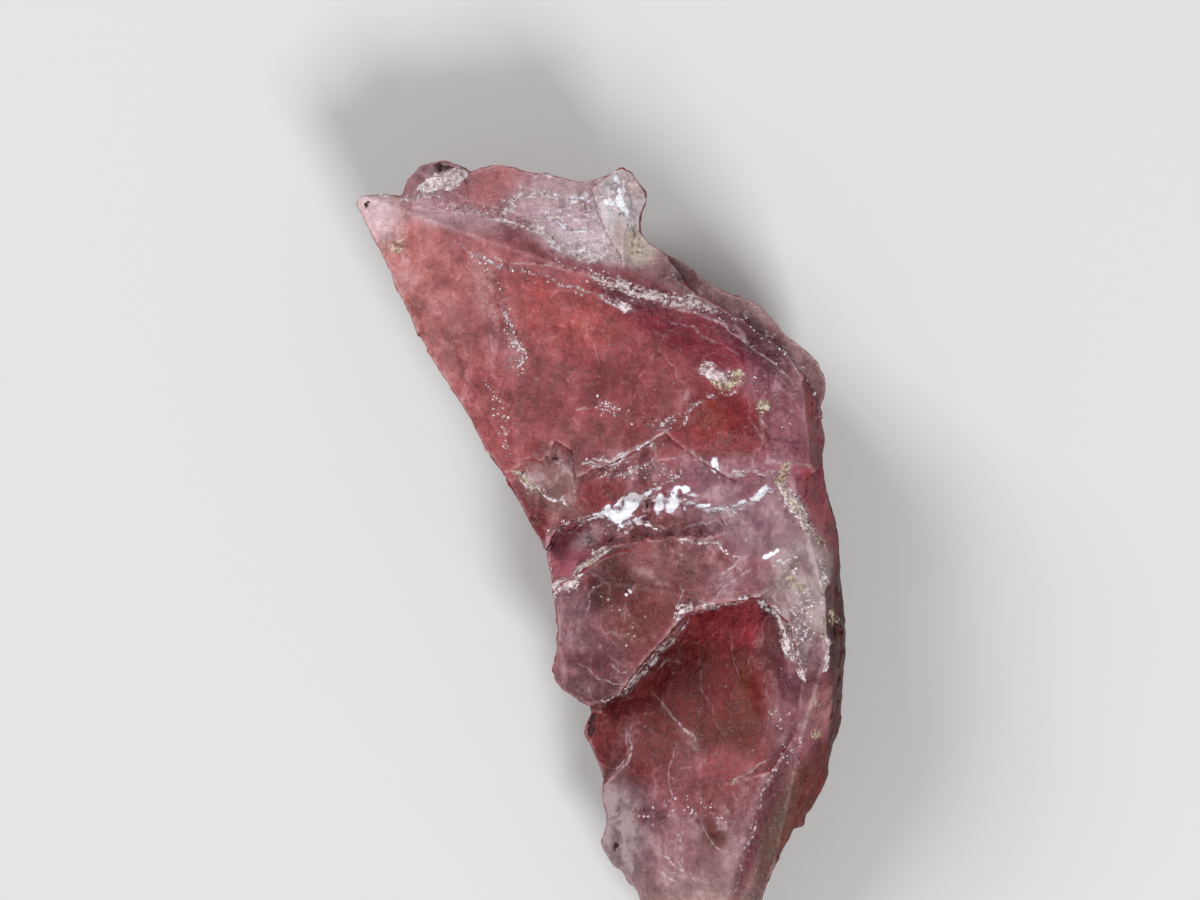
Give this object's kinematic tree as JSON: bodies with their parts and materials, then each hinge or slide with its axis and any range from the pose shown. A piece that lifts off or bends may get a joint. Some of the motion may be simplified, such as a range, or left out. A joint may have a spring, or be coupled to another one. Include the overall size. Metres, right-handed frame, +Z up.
{
  "type": "pezzottaite crystal",
  "caption": "Raspberry-red, see-through crystal fragment: a wedge-shaped shard with a broad smooth face, a stepped broken middle and a deep hollow, lying on its flattest face",
  "frame": {"origin": "under the middle of the shard, on the face that it rests on", "axes": "X across the shard, Y along it towards the broad face's end, Z up through its thickness"},
  "size_m": [0.0108, 0.018, 0.0052],
  "materials": {
    "crystal": "see-through raspberry-red crystal, frosted and dusted with pale clay on its broken faces"
  },
  "bodies": {
    "root": {"pezzottaite_crystal": "crystal"}
  },
  "joints": []
}
